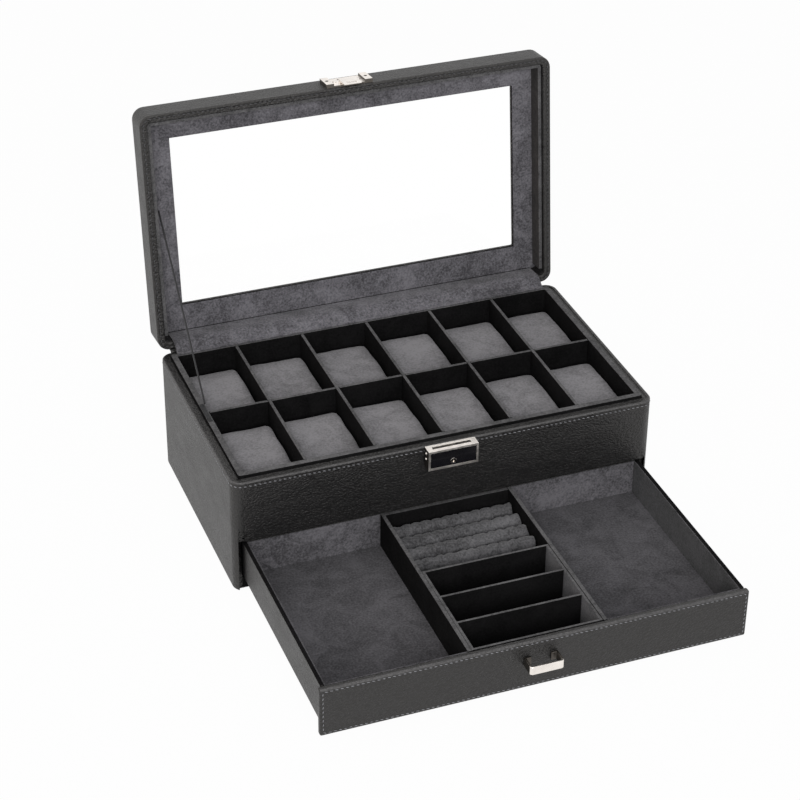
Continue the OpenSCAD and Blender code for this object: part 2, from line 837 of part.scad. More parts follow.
// Bow pull: a flat strip bent twice, with feet turned inwards
module drawer_pull() {
    bend = 2.4;
    color(metal_tone) translate([0, 0, pull_z - pull_h / 2]) linear_extrude(pull_h) {
        difference() {
            translate([0, front_y - pull_reach / 2]) square([pull_w, pull_reach], center = true);
            translate([0, front_y - (pull_reach - pull_t) / 2 + eps])
                square([pull_w - 2 * pull_t, pull_reach - pull_t + 2 * eps], center = true);
            // Round the two outer bends
            for (x = [-1, 1])
                translate([x * (pull_w / 2 - bend), front_y - pull_reach + bend]) difference() {
                    translate([x * bend / 2, -bend / 2]) square([bend + 2 * eps, bend + 2 * eps], center = true);
                    circle(r = bend);
                }
        }
        for (x = [-1, 1])
            translate([x * (pull_w / 2 - 1.5 * pull_t), front_y - pull_t / 2]) square([3 * pull_t, pull_t], center = true);
    }
}

module pull_screws() {
    color(metal_tone) for (x = [-1, 1])
        translate([x * pull_screw_x, front_y, pull_z]) rotate([-90, 0, 0])
            cylinder(r = screw_r, h = front_t);
}

// ---- pillows ------------------------------------------------------------------------------------

// Middle of a cell along X: the end cells are narrower than the four in the middle
function cell_x(column) =
    column == 0 ? -end_cell_x : column == columns - 1 ? end_cell_x : (column - (columns - 1) / 2) * divider_pitch;

// Width of the pillow in a column: no wider than its cell lets it be
function pillow_width(column) =
    min(pillow_w, (column == 0 || column == columns - 1 ? end_cell_w : cell_w) - 2 * pillow_gap);

// Cross section of a pillow, front to back: a soft oval
function oval(length, height, power) = [for (k = [0:31])
    let (a = 360 * k / 32, c = cos(a), s = sin(a))
        [length / 2 * sign(c) * pow(abs(c), 2 / power), height / 2 * sign(s) * pow(abs(s), 2 / power)]];

module pillow(number) {
    column = (number - 1) % columns;
    row = floor((number - 1) / columns);
    color(suede_tone)
        translate([cell_x(column), (row == 0 ? 1 : -1) * row_y, pillow_z + pillow_h / 2])
            along_x(oval(pillow_l, pillow_h, 3), pillow_width(column));
}

// ---- assembly -----------------------------------------------------------------------------------

base_felt();
floor_board();
left_wall();
right_wall();
back_wall();
front_rail();
tray_shelf();
tray_floor_lining();
tray_liner();
long_divider();
cross_dividers();
lid_frame();
lid_top_frame();
lid_glass();
lid_panel();
lid_lining();
hinge_cover();
leather_spine();
stay_strap();
stay_tab_case();
stay_tab_lid();
hasp_plate();
hasp_striker();
hasp_screws();
lock_housing();
lock_rivets();
lock_screw();
lock_button();
lock_catch();
lock_spring();
key_cylinder();
drawer_front();
drawer_left_side();
drawer_right_side();
drawer_back();
drawer_bottom();
drawer_suede_left();
drawer_suede_right();
organiser_left_wall();
organiser_right_wall();
organiser_back_wall();
ring_pad();
slot_insert();
drawer_pull();
pull_screws();
pillow(1);  // pillow_01
pillow(2);  // pillow_02
pillow(3);  // pillow_03
pillow(4);  // pillow_04
pillow(5);  // pillow_05
pillow(6);  // pillow_06
pillow(7);  // pillow_07
pillow(8);  // pillow_08
pillow(9);  // pillow_09
pillow(10);  // pillow_10
pillow(11);  // pillow_11
pillow(12);  // pillow_12
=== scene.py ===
"""Dresses the watch box: leather, suede, stitching, bright metal, and the stage that it stands on.

Lengths are metres. X runs along the front, -Y points to the front and +Z up; the origin is the
centre of the underside of the case.
"""

import json
import math
import random

import bmesh
import bpy
from mathutils import Matrix, Vector, noise


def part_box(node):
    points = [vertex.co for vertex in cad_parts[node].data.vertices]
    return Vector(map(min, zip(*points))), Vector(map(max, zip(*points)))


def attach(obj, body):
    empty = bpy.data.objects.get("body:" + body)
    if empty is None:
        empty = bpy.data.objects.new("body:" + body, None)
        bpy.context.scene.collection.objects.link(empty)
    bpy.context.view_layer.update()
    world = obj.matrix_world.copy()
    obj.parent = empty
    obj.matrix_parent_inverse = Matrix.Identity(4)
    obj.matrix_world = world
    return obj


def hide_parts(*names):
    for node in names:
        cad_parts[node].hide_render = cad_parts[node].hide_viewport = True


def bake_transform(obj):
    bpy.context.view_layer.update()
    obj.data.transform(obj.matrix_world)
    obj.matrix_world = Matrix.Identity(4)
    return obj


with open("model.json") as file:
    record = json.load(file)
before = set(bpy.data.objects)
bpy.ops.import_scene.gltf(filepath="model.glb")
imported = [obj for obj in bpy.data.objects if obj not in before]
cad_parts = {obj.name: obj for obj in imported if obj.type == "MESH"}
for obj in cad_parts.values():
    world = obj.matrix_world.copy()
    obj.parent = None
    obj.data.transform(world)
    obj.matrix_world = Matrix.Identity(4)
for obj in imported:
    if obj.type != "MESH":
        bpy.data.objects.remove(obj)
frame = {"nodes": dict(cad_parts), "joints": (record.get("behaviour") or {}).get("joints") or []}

bl_info = {
    "name": "Watch Box",
    "version": (1, 0, 0),
    "blender": (4, 5, 0),
    "location": "3D View > Sidebar > Watch Box",
    "description": "Leather-covered watch box with pillows, drawer and lock",
    "category": "Object",
}

MM = 0.001
STITCH_SLANT = math.radians(-11)
ROUND, SQUARE = 3, 4.6  # how square a pillow's section is before and after it is stuffed
WELD = 1e-6  # points nearer than this are one
FLAT = math.radians(0.6)  # faces within this angle are one
SHARP = math.radians(32.0)  # edges above this angle are rounded
TURNED_TO = 0.7  # least part of a face's normal along an axis for it to count as facing there
SHEET_CUTS = 60  # strips that a sheet over the hinge is divided into
STAY_CUTS = 28
REACH = 0.01  # how far a cutter goes past what it cuts
TINY = 0.1 * MM
STUFFING_FRAMES = 20
CAMERA_AT = (-0.5298, -1.3805, 1.0136)
CAMERA_ANGLES = (-20.90, 32.42, 0.53)  # azimuth, elevation and roll, in degrees
CAMERA_LENS = 103.1


# ---- sizes read from the frame ------------------------------------------------------------------


def corners(node):
    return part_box(node)


CASE_LOW = Vector((corners("left_wall")[0].x, corners("left_wall")[0].y, 0))
CASE_HIGH = Vector((corners("right_wall")[1].x, corners("back_wall")[1].y, corners("left_wall")[1].z))
CASE_W = CASE_HIGH.x - CASE_LOW.x
CASE_D = CASE_HIGH.y - CASE_LOW.y
CASE_H = CASE_HIGH.z
WALL_T = corners("left_wall")[1].x - CASE_LOW.x
OPENING_H = corners("front_rail")[0].z
LID_HINGE = next(j for j in frame["joints"] if j["name"] == "lid_hinge")
HINGE_AT = Vector(LID_HINGE["pos_m"])
LID_ANGLE = math.radians(-LID_HINGE["range_deg"][0])
SWING = Matrix.Rotation(-LID_ANGLE, 4, "X")
OPEN_LID = Matrix.Translation(HINGE_AT) @ SWING @ Matrix.Translation(-HINGE_AT)
CLOSE_LID = OPEN_LID.inverted()


def closed_corners(node):
    """Lowest and highest corner of a node of the lid, with the lid closed."""
    points = [CLOSE_LID @ v.co for v in frame["nodes"][node].data.vertices]
    return (
        Vector([min(p[i] for p in points) for i in range(3)]),
        Vector([max(p[i] for p in points) for i in range(3)]),
    )


LID_LOW, LID_HIGH = closed_corners("lid_frame")
LID_TOP = closed_corners("lid_top_frame")[1].z


# ---- settings -----------------------------------------------------------------------------------


class WatchBoxFinish(bpy.types.PropertyGroup):
    """Sizes of the finish."""

    corner: bpy.props.FloatProperty(
        name="Corner radius",
        description="Radius of the upright leather corners",
        default=9 * MM,
        unit="LENGTH",
    )
    leather_edge: bpy.props.FloatProperty(
        name="Leather edge",
        description="Rounding of the wrapped leather edges",
        default=1.5 * MM,
        unit="LENGTH",
    )
    suede_edge: bpy.props.FloatProperty(
        name="Suede edge",
        description="Rounding of the suede-covered edges",
        default=0.9 * MM,
        unit="LENGTH",
    )
    metal_edge: bpy.props.FloatProperty(
        name="Metal edge", description="Rounding of the metal edges", default=0.22 * MM, unit="LENGTH"
    )
    stitch_pitch: bpy.props.FloatProperty(
        name="Stitch pitch",
        description="Distance from one stitch to the next",
        default=3.7 * MM,
        unit="LENGTH",
    )
    stitch_length: bpy.props.FloatProperty(
        name="Stitch length", description="Length of one stitch", default=2.6 * MM, unit="LENGTH"
    )
    stitch_radius: bpy.props.FloatProperty(
        name="Thread radius", description="Radius of the sewing thread", default=0.3 * MM, unit="LENGTH"
    )
    grain: bpy.props.FloatProperty(
        name="Leather grain",
        description="Size of one pebble of the leather grain",
        default=1.7 * MM,
        unit="LENGTH",
    )


class WatchBoxColours(bpy.types.PropertyGroup):
    """Colours of the finish."""

    leather: bpy.props.FloatVectorProperty(
        name="Leather", description="Leather", subtype="COLOR", default=(0.0105, 0.0103, 0.0106)
    )
    suede: bpy.props.FloatVectorProperty(
        name="Suede",
        description="Suede of the lid and liner",
        subtype="COLOR",
        default=(0.136, 0.131, 0.143),
    )
    pillow: bpy.props.FloatVectorProperty(
        name="Pillow", description="Suede of the pillows", subtype="COLOR", default=(0.21, 0.203, 0.211)
    )
    drawer_suede: bpy.props.FloatVectorProperty(
        name="Drawer suede",
        description="Suede in the drawer",
        subtype="COLOR",
        default=(0.078, 0.075, 0.081),
    )
    dark_suede: bpy.props.FloatVectorProperty(
        name="Dark suede",
        description="Suede on the inner edge of the lid",
        subtype="COLOR",
        default=(0.03, 0.026, 0.025),
    )
    lining: bpy.props.FloatVectorProperty(
        name="Lining",
        description="Dark lining of the places and slots",
        subtype="COLOR",
        default=(0.0075, 0.0072, 0.0075),
    )
    # Painted highlight: the pale colour of the lined boards' upward faces, for light falling on their tops
    edge: bpy.props.FloatVectorProperty(
        name="Lining edge",
        description="Cut edges of the lined boards",
        subtype="COLOR",
        default=(0.105, 0.103, 0.105),
    )
    rolls: bpy.props.FloatVectorProperty(
        name="Rolls", description="Suede of the ring rolls", subtype="COLOR", default=(0.105, 0.103, 0.107)
    )
    thread: bpy.props.FloatVectorProperty(
        name="Thread", description="Sewing thread", subtype="COLOR", default=(0.3, 0.3, 0.32)
    )
    metal: bpy.props.FloatVectorProperty(
        name="Metal", description="Lock, hasp and pull", subtype="COLOR", default=(0.86, 0.81, 0.76)
    )


# ---- materials ----------------------------------------------------------------------------------


class Value:
    """A shader socket; calculating with it adds Math nodes."""

    def __init__(self, paint, socket):
        self.paint = paint
        self.socket = socket

    def math(self, operation, other, swap=False):
        pair = (other, self) if swap else (self, other)
        return self.paint.node("ShaderNodeMath", {"operation": operation}, dict(enumerate(pair)))

    def __add__(self, other):
        return self.math("ADD", other)

    def __sub__(self, other):
        return self.math("SUBTRACT", other)

    def __rsub__(self, other):
        return self.math("SUBTRACT", other, swap=True)

    def __mul__(self, other):
        return self.math("MULTIPLY", other)

    __radd__ = __add__
    __rmul__ = __mul__


class Paint:
    """The nodes of one material, or of the world."""

    def __init__(self, name=None, owner=None):
        self.material = owner or bpy.data.materials.new(name)
        self.material.use_nodes = True
        self.nodes = self.material.node_tree.nodes
        self.nodes.clear()

    def node(self, kind, settings=None, inputs=None, output=0):
        """Adds a node, gives it its settings, then the values or links of its sockets."""
        node = self.nodes.new(kind)
        for name, setting in (settings or {}).items():
            setattr(node, name, setting)
        for name, value in (inputs or {}).items():
            socket = node.inputs[name]
            if isinstance(value, Value):
                self.material.node_tree.links.new(value.socket, socket)
            else:
                socket.default_value = value
        return Value(self, node.outputs[output]) if len(node.outputs) else None

    def rays(self, *kinds):
        """Whether a ray is of each kind."""
        return [self.node("ShaderNodeLightPath", output=f"Is {kind} Ray") for kind in kinds]

    def place(self):
        """The point on the piece, in metres."""
        return self.node("ShaderNodeTexCoord", output="Object")

    def stretch(self, vector, scale):
        return self.node("ShaderNodeMapping", None, {"Vector": vector, "Scale": scale})

    def cloud(self, vector, scale, detail=2.0, roughness=0.5, distortion=0.0):
        return self.node(
            "ShaderNodeTexNoise",
            None,
            {
                "Vector": vector,
                "Scale": scale,
                "Detail": detail,
                "Roughness": roughness,
                "Distortion": distortion,
            },
        )

    def clamp(self, value, low=0.0, high=1.0, to_low=0.0, to_high=1.0):
        return self.node(
            "ShaderNodeMapRange",
            {"clamp": True},
            {"Value": value, "From Min": low, "From Max": high, "To Min": to_low, "To Max": to_high},
        )

    def mix(self, factor, a, b):
        return self.node("ShaderNodeMix", {"data_type": "RGBA"}, {0: factor, 6: a, 7: b}, output=2)

    def bump(self, height, distance, strength=1.0):
        inputs = {"Height": height, "Distance": distance, "Strength": strength}
        return self.node("ShaderNodeBump", None, inputs)

    def finish(self, shader):
        self.node("ShaderNodeOutputMaterial", None, {"Surface": shader})
        return self.material

    def surface(self, **sockets):
        """Ends the material in a Principled shader with those sockets."""
        names = {key.replace("_", " "): value for key, value in sockets.items()}
        return self.finish(self.node("ShaderNodeBsdfPrincipled", None, names))


def rgb(colour, gain=1.0):
    return (colour[0] * gain, colour[1] * gain, colour[2] * gain, 1.0)


def leather(name, colour, grain):
    """Pebbled leatherette: rounded grains in a net of creases, with soft long wrinkles."""
    paint = Paint(name)
    place = paint.place()
    warp = paint.cloud(place, 0.35 / grain, 2.0)
    bent = paint.node(
        "ShaderNodeMixRGB", {"blend_type": "LINEAR_LIGHT"}, {"Fac": 0.0012, "Color1": place, "Color2": warp}
    )
    stretched = paint.stretch(bent, (0.8, 1.0, 1.2))
    pebble = paint.node(
        "ShaderNodeTexVoronoi",
        {"feature": "SMOOTH_F1"},
        {"Vector": stretched, "Scale": 1 / grain, "Smoothness": 0.3, "Randomness": 0.95},
    )
    small = paint.node("ShaderNodeTexVoronoi", {"feature": "F1"}, {"Vector": bent, "Scale": 2.3 / grain})
    fine = paint.cloud(place, 2.6 / grain, 3.0, 0.6)
    wrinkle = paint.cloud(paint.stretch(place, (0.35, 0.6, 1.6)), 0.09 / grain, 4.0, 0.6, 0.6)
    grains = paint.clamp(pebble, 0.05, 0.75, 1.0, 0.0)
    height = grains * 0.6 + paint.clamp(small, 0.0, 0.7, 0.25, 0.0) + fine * 0.25 + wrinkle * 0.8
    tone = paint.clamp(grains * 0.55 + fine * 0.5 + wrinkle * 0.4, 0.35, 1.05)
    base = paint.mix(tone, rgb(colour, 0.5), rgb(colour, 1.5))
    rough = paint.clamp(fine * 0.5 + wrinkle * 0.6, 0.25, 0.85, 0.36, 0.54)
    return paint.surface(
        Base_Color=base,
        Roughness=rough,
        Specular_IOR_Level=0.5,
        Specular_Tint=(1.0, 0.965, 0.935, 1.0),
        Normal=paint.bump(height, 0.38 * grain, 0.9),
    )


def suede(name, colour, nap=1.0, sheen=0.25, gloss=0.15, painted_light=False):
    """Napped cloth: brushed patches over a fine, short pile, with painted shade read from a vertex
    attribute: paler where it is high, darker where it is low.
    """
    paint = Paint(name)
    place = paint.place()
    pile = paint.cloud(place, 2200.0, 3.0, 0.7)
    tuft = paint.cloud(place, 620.0, 3.0, 0.65)
    brushed = paint.cloud(place, 48.0, 3.0, 0.6, 1.2)
    wide = paint.cloud(place, 17.0, 2.0, 0.5, 0.4)
    blend = brushed * 2.0 + wide * 1.2 + tuft * 3.0 + pile * 0.6
    # Painted shade: the attribute darkens the cloth towards a pillow's edges and pales its middle
    if painted_light:
        painted_shading = paint.node("ShaderNodeAttribute", {"attribute_name": "painted_light"}, output="Fac")
        blend = blend + (painted_shading - 0.7) * 1.3
    tone = paint.clamp(blend, 2.75, 4.05)
    base = paint.mix(tone, rgb(colour, 1 - 0.55 * nap), rgb(colour, 1 + 0.58 * nap))
    height = pile * 0.6 + tuft * 0.8 + brushed * 0.4
    return paint.surface(
        Base_Color=base,
        Roughness=0.96,
        Specular_IOR_Level=gloss,
        Sheen_Weight=sheen,
        Sheen_Roughness=0.45,
        Normal=paint.bump(height, 0.00022, 0.6),
    )


def bright_metal(name, colour, roughness=0.16):
    """Polished nickel with faint rubbing marks."""
    paint = Paint(name)
    place = paint.place()
    rub = paint.cloud(paint.stretch(place, (0.15, 1.0, 1.0)), 2200.0, 3.0, 0.6)
    wear = paint.cloud(place, 160.0, 2.0)
    rough = paint.clamp(rub * 0.6 + wear * 0.5, 0.3, 0.85, roughness * 0.6, roughness * 1.7)
    base = paint.mix(paint.clamp(wear, 0.35, 0.7), rgb(colour, 0.92), rgb(colour, 1.04))
    return paint.surface(
        Base_Color=base, Metallic=1.0, Roughness=rough, Normal=paint.bump(rub, 0.00002, 0.3)
    )


def black_enamel(name):
    paint = Paint(name)
    wear = paint.cloud(paint.place(), 240.0, 3.0)
    base = paint.mix(wear, (0.006, 0.006, 0.008, 1.0), (0.014, 0.013, 0.015, 1.0))
    return paint.surface(
        Base_Color=base,
        Roughness=paint.clamp(wear, 0.3, 0.8, 0.08, 0.2),
        Coat_Weight=0.6,
        Coat_Roughness=0.05,
    )


def cord_cloth(name, colour):
    """Woven tape or thread."""
    paint = Paint(name)
    place = paint.place()
    weave = paint.node(
        "ShaderNodeTexWave",
        {"wave_type": "BANDS", "bands_direction": "DIAGONAL"},
        {"Vector": place, "Scale": 900.0, "Distortion": 0.5, "Detail": 1.0},
        output="Fac",
    )
    fluff = paint.cloud(place, 1800.0, 2.0)
    base = paint.mix(weave * 0.6 + fluff * 0.4, rgb(colour, 0.75), rgb(colour, 1.25))
    return paint.surface(Base_Color=base, Roughness=0.8, Normal=paint.bump(weave, 0.0001, 0.5))


def window_glass(name):
    """Clear pane; light passes through it unbent in shadows."""
    paint = Paint(name)
    haze = paint.cloud(paint.place(), 30.0, 2.0)
    pane = paint.node(
        "ShaderNodeBsdfPrincipled",
        None,
        {
            "Base Color": (1.0, 1.0, 1.0, 1.0),
            "Roughness": paint.clamp(haze, 0.3, 0.8, 0.0, 0.015),
            "IOR": 1.12,
            "Transmission Weight": 1.0,
        },
    )
    clear = paint.node("ShaderNodeBsdfTransparent", None, {"Color": (1.0, 1.0, 1.0, 1.0)})
    shadow, diffuse = paint.rays("Shadow", "Diffuse")
    through = paint.node("ShaderNodeMath", {"operation": "MAXIMUM"}, {0: shadow, 1: diffuse})
    return paint.finish(paint.node("ShaderNodeMixShader", None, {0: through, 1: pane, 2: clear}))


def make_finishes(colours, finish):
    return {
        "leather": leather("leather_grain", colours.leather, finish.grain),
        # Painted highlight: leather six times paler, for rounded edges that catch the light
        "leather_edge": leather("leather_edge_painted_highlight", [6.0 * c for c in colours.leather], finish.grain),
        "suede": suede("grey_suede", colours.suede),
        "pillow": suede("pillow_suede", colours.pillow, 0.6, 0.2, 0.15, True),
        "dark_suede": suede("dark_suede", colours.dark_suede, 0.9, 0.1),
        "drawer_suede": suede("drawer_suede", colours.drawer_suede, 0.9),
        # Lit and shaded copies of the drawer suede: paler back walls as painted light, darker side walls as
        # painted shade
        "drawer_back": suede("drawer_suede_painted_light", [1.5 * c for c in colours.drawer_suede], 1.0),
        "drawer_side": suede("drawer_suede_painted_shade", [0.38 * c for c in colours.drawer_suede], 1.5),
        "lining": suede("dark_lining", colours.lining, 0.8, 0.0, 0.06),
        # Painted highlight for the upward faces of the lined boards
        "edge": suede("lining_painted_highlight", colours.edge, 0.8, 0.1),
        "rolls": suede("roll_suede", colours.rolls, 1.0),
        "felt": suede("black_felt", (0.012, 0.012, 0.012), 0.6, 0.1),
        "metal": bright_metal("polished_nickel", colours.metal),
        "satin": bright_metal("satin_nickel", colours.metal, 0.34),
        # Painted shade and reflection: a dark copy of the nickel for faces that see only dark surroundings
        "shaded_nickel": bright_metal("nickel_painted_shade", (0.1, 0.09, 0.08), 0.4),
        "steel": bright_metal("spring_steel", (0.6, 0.6, 0.6), 0.3),
        "enamel": black_enamel("black_enamel"),
        "tape": cord_cloth("black_tape", (0.012, 0.012, 0.013)),
        "thread": cord_cloth("grey_thread", colours.thread),
        "dark_thread": cord_cloth("dark_thread", [0.3 * c for c in colours.thread]),
        "glass": window_glass("window_glass"),
    }


FINISHES = {}


def finish_of(name):
    if not FINISHES:
        scene = bpy.context.scene
        FINISHES.update(make_finishes(scene.watchbox_colours, scene.watchbox_finish))
    return FINISHES[name]


# ---- making pieces ------------------------------------------------------------------------------


def copy_of(*nodes):
    """The named nodes' shapes as one mesh of clean flat faces."""
    bm = bmesh.new()
    for node in nodes:
        bm.from_mesh(frame["nodes"][node].data)
    bmesh.ops.remove_doubles(bm, verts=bm.verts, dist=WELD)
    bmesh.ops.dissolve_limit(bm, angle_limit=FLAT, verts=bm.verts, edges=bm.edges)
    return bm


def sharp_edges(bm):
    return [e for e in bm.edges if len(e.link_faces) == 2 and e.calc_face_angle(0.0) > SHARP]


def mark(bm, slot, chosen):
    """Gives a material slot to the faces that a test picks."""
    for face in bm.faces:
        if chosen(face):
            face.material_index = slot


def slice_at(bm, place, normal):
    """Adds a row of edges where a plane crosses the shape."""
    geom = bm.verts[:] + bm.edges[:] + bm.faces[:]
    bmesh.ops.bisect_plane(bm, geom=geom, plane_co=place, plane_no=normal)


def soften(bm, radius, segments=2, edges=None, painted_light=0):
    """Rounds the sharp edges; the rounded faces take the material slot given in the last argument, used for
    the pale leather that paints a highlight on them.
    """
    made = bmesh.ops.bevel(
        bm,
        geom=sharp_edges(bm) if edges is None else edges,
        offset=radius,
        offset_type="OFFSET",
        affect="EDGES",
        segments=segments,
        profile=0.5,
        clamp_overlap=True,
        material=-1,
    )
    if painted_light:
        for face in made["faces"]:
            face.material_index = painted_light
    return bm


def to_object(name, bm, finish):
    mesh = bpy.data.meshes.new(name)
    bm.to_mesh(mesh)
    bm.free()
    for polygon in mesh.polygons:
        polygon.use_smooth = True
    mesh.materials.append(finish_of(finish))
    obj = bpy.data.objects.new(name, mesh)
    bpy.context.scene.collection.objects.link(obj)
    return obj


def piece(name, bm, finish, body, nodes=(), flat_shading=True):
    """Turns a mesh into a finished piece that rides on a body and stands for its nodes."""
    obj = to_object(name, bm, finish)
    if flat_shading:
        weigh = obj.modifiers.new("even_shading", "WEIGHTED_NORMAL")
        weigh.keep_sharp = True
    if body:
        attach(obj, body)
    if nodes:
        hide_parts(*nodes)
    return obj


def lined_board(name, node, body, radius, ends=None):
    """A lined board: dark faces, pale upward faces as a painted highlight of the light from above, and the
    finish named for the faces across X.
    """
    bm = copy_of(node)
    bm.normal_update()
    if ends:
        mark(bm, 2, lambda f: abs(f.normal.x) > TURNED_TO)
    mark(bm, 1, lambda f: f.normal.z > TURNED_TO)
    board = piece(name, soften(bm, radius, 2), "lining", body, (node,))
    board.data.materials.append(finish_of("edge"))
    if ends:
        board.data.materials.append(finish_of(ends))


def dress_node(node, finish):
    """Keeps a node's own shape and gives it a finish."""
    data = frame["nodes"][node].data
    data.materials.clear()
    data.materials.append(finish_of(finish))


def block(low, high):
    """A box between two corners."""
    bm = bmesh.new()
    size = Vector(high) - Vector(low)
    middle = (Vector(high) + Vector(low)) / 2
    matrix = Matrix.Translation(middle) @ Matrix.Diagonal((*size, 1.0))
    bmesh.ops.create_cube(bm, size=1.0, matrix=matrix)
    return bm


def upright_edges(bm):
    return [e for e in bm.edges if abs((e.verts[0].co - e.verts[1].co).normalized().z) > 0.99]


def rounded_block(low, high, radius, segments=8):
    bm = block(low, high)
    soften(bm, radius, segments, upright_edges(bm))
    bm.normal_update()
    return bm


def cut(bm, *cutters):
    """Takes other shapes out of a shape."""
    body = to_object("cut_body", bm, "leather")
    for cutter in cutters:
        tool = to_object("cut_tool", cutter, "leather")
        take = body.modifiers.new("take", "BOOLEAN")
        take.operation = "DIFFERENCE"
        take.solver = "EXACT"
        take.object = tool
        bpy.context.view_layer.update()
        depsgraph = bpy.context.evaluated_depsgraph_get()
        result = bpy.data.meshes.new_from_object(body.evaluated_get(depsgraph))
        body.modifiers.clear()
        body.data = result
        bpy.data.objects.remove(tool)
    out = bmesh.new()
    out.from_mesh(body.data)
    bpy.data.objects.remove(body)
    bmesh.ops.remove_doubles(out, verts=out.verts, dist=WELD)
    bmesh.ops.dissolve_limit(out, angle_limit=FLAT, verts=out.verts, edges=out.edges)
    out.normal_update()
    return out


def groove(bm, low, high, corner, outer, inner, z_low, z_high):
    """Sinks a groove into the rim of a box, between two distances from its outline."""
    rings = []
    for inset in (outer, inner):
        ring_low = (low.x + inset, low.y + inset, z_low)
        ring_high = (high.x - inset, high.y - inset, z_high)
        rings.append(rounded_block(ring_low, ring_high, corner - inset, 5))
    for v in rings[1].verts:
        v.co.z += 1 * MM if v.co.z > (z_low + z_high) / 2 else -1 * MM
    return cut(bm, cut(*rings))


def sew(name, runs, body, finish="thread"):
    """Slightly slanted stitches at each (point, direction, up) of the runs, as one piece on a body."""
    settings = bpy.context.scene.watchbox_finish
    slant = Matrix.Rotation(STITCH_SLANT, 4, "Z")
    bm = bmesh.new()
    half = settings.stitch_length / 2
    r = settings.stitch_radius
    scale = Matrix.Diagonal((half, r, r * 0.9, 1.0))
    for point, along, up in runs:
        side = up.cross(along).normalized()
        turn = Matrix((along, side, up)).transposed().to_4x4() @ slant
        matrix = Matrix.Translation(point) @ turn @ scale
        bmesh.ops.create_uvsphere(bm, u_segments=6, v_segments=4, radius=1.0, matrix=matrix)
    sewn = to_object(name, bm, finish)
    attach(sewn, body)


def walk(points, pitch):
    """Evenly spaced (point, direction) round a closed polyline."""
    ends = points[1:] + points[:1]
    legs = [(a, b, (b - a).length) for a, b in zip(points, ends)]
    total = sum(leg[2] for leg in legs)
    count = max(2, round(total / pitch))
    out = []
    for k in range(count):
        at = (k + 0.5) * total / count
        for a, b, length in legs:
            if at <= length:
                out.append((a.lerp(b, at / length), (b - a).normalized()))
                break
            at -= length
    return out


def round_outline(width, depth, radius, z, middle=(0.0, 0.0), segments=8):
    """Points of a rectangle with round corners, seen from above."""
    points = []
    for k, (sx, sy) in enumerate(((1, 1), (-1, 1), (-1, -1), (1, -1))):
        cx = middle[0] + sx * (width / 2 - radius)
        cy = middle[1] + sy * (depth / 2 - radius)
        for i in range(segments + 1):
            a = math.radians(90 * k + 90 * i / segments)
            points.append(Vector((cx + radius * math.cos(a), cy + radius * math.sin(a), z)))
    return points


class WatchBoxStep:
    """What the steps share."""

    bl_options = {"REGISTER", "UNDO"}


# ---- case ---------------------------------------------------------------------------------------


class WATCHBOX_OT_case(WatchBoxStep, bpy.types.Operator):
    """Leather round the case, its stitching, boards and felt"""

    bl_idname = "watchbox.case"
    bl_label = "Case"

    def execute(self, context):
        settings = context.scene.watchbox_finish
        bm = rounded_block(CASE_LOW, CASE_HIGH, settings.corner)
        inner_low = Vector((CASE_LOW.x + WALL_T, CASE_LOW.y + WALL_T, -REACH))
        inner_high = Vector((CASE_HIGH.x - WALL_T, CASE_HIGH.y - WALL_T, CASE_H + REACH))
        gap = 2.0 * MM
        rebate_x = corners("drawer_front")[1].x + gap
        rebate_y = corners("floor_board")[0].y
        opening_low = Vector((inner_low.x, CASE_LOW.y - REACH, -REACH))
        opening_high = Vector((inner_high.x, CASE_LOW.y + WALL_T + 1 * MM, OPENING_H))
        rebate_low = Vector((-rebate_x, CASE_LOW.y - REACH, -REACH))
        rebate_high = Vector((rebate_x, rebate_y, OPENING_H))
        catch_low, catch_high = corners("lock_catch")
        room_x, room_z = 0.6 * MM, 1.0 * MM
        pocket_low = Vector((catch_low.x - room_x, CASE_LOW.y - REACH, catch_low.z - room_z))
        pocket_high = Vector((catch_high.x + room_x, corners("lock_spring")[1].y, catch_high.z + room_z))
        bm = cut(
            bm,
            block(inner_low, inner_high),
            block(opening_low, opening_high),
            block(rebate_low, rebate_high),
            block(pocket_low, pocket_high),
        )
        # the edges of the outline, corners included
        within = 0.3 * settings.corner + 0.01 * MM
        x_in, y_in = CASE_HIGH.x - within, CASE_HIGH.y - within
        outer = [
            e
            for e in sharp_edges(bm)
            if all(abs(v.co.x) > x_in or abs(v.co.y) > y_in for v in e.verts)
        ]
        top = [e for e in outer if all(v.co.z > CASE_H - TINY for v in e.verts)]
        bottom = [e for e in outer if all(v.co.z < TINY for v in e.verts)]
        # The rounded top edges take slot 1, the pale leather that paints a highlight along them
        soften(bm, settings.leather_edge, 3, top, painted_light=1)
        soften(bm, settings.leather_edge, 3, [e for e in bottom if e.is_valid])
        soften(bm, 0.5 * MM, 2)
        depth, from_edge, to = 0.5 * MM, 2.7 * MM, 4.9 * MM
        bm = groove(
            bm, CASE_LOW, CASE_HIGH, settings.corner, from_edge, to, CASE_H - depth, CASE_H + 2 * MM
        )
        boards = ("left_wall", "right_wall", "back_wall", "front_rail")
        shell = piece("case_leather", bm, "leather", "case", boards)
        shell.data.materials.append(finish_of("leather_edge"))

        seam_below_rim = 3.2 * MM
        path = round_outline(CASE_W, CASE_D, settings.corner, CASE_H - seam_below_rim)
        runs = [
            (point, along, along.cross(Vector((0, 0, 1))))
            for point, along in walk(path, settings.stitch_pitch)
        ]
        sew("case_stitches", runs, "case")

        # Painted shade: the floor board takes the dark lining, for the shadow in the gap beside the drawer
        dress_node("floor_board", "lining")
        dress_node("tray_shelf", "leather")
        dress_node("base_felt", "felt")
        return {"FINISHED"}


